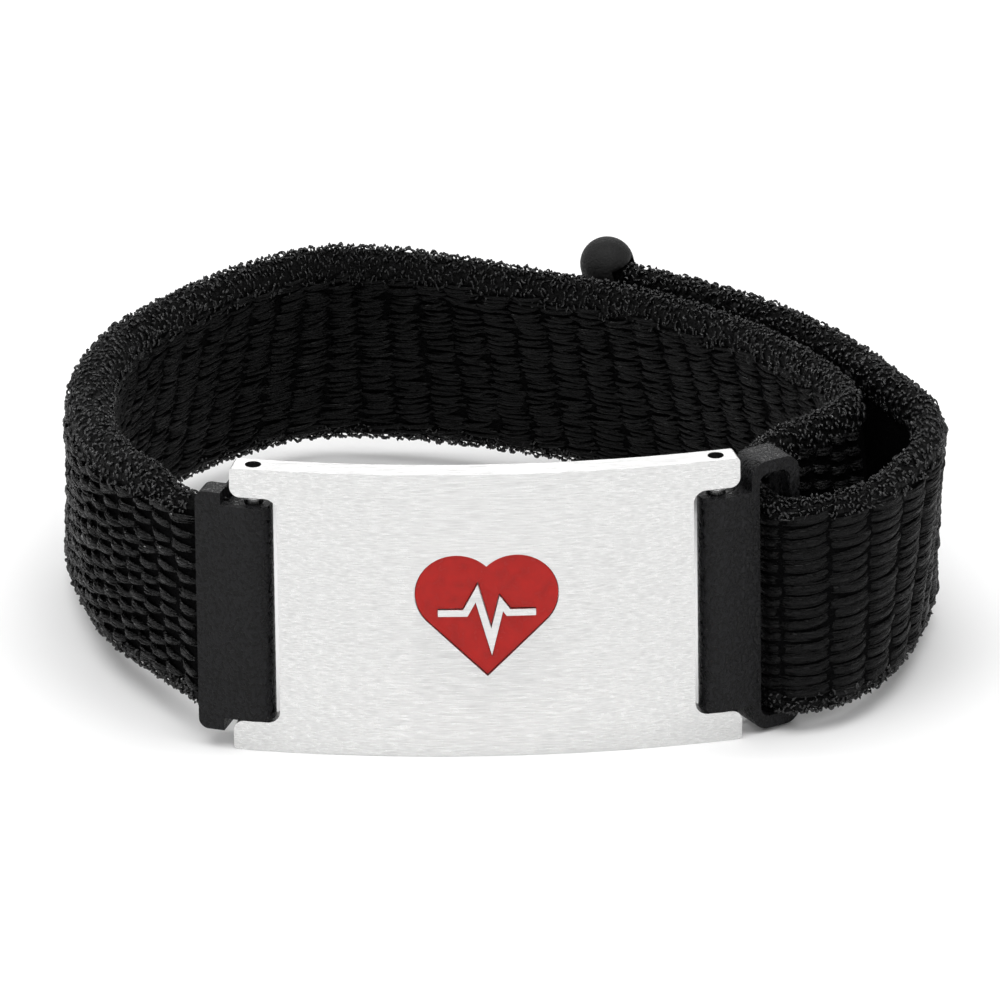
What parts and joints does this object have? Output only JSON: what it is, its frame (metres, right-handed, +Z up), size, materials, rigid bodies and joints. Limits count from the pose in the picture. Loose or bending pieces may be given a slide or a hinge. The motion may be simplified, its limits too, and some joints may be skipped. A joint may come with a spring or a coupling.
{
  "type": "medical alert bracelet",
  "caption": "Curved steel identification plate with a red enamel heart, on a woven hook-and-loop wrist strap that closes through a buckle loop.",
  "frame": {"origin": "the middle of the plate's lower front edge, on the surface that the bracelet stands on", "axes": "+X to the right along the plate, seen from its face; +Y from the plate to the back of the loop; +Z up, along the wrist's axis"},
  "size_m": [0.0768, 0.0666, 0.0264],
  "materials": {
    "steel": "brushed along its length",
    "enamel": "glossy",
    "black_metal": "satin",
    "cloth": "woven, with a looped pile",
    "black_rubber": "matte"
  },
  "bodies": {
    "root": {"plate": "steel", "enamel": "enamel", "left_pin": "steel", "right_pin": "steel", "left_connector": "black_metal", "buckle_loop": "black_metal", "strap": "cloth", "end_bar": "black_rubber"}
  },
  "joints": []
}
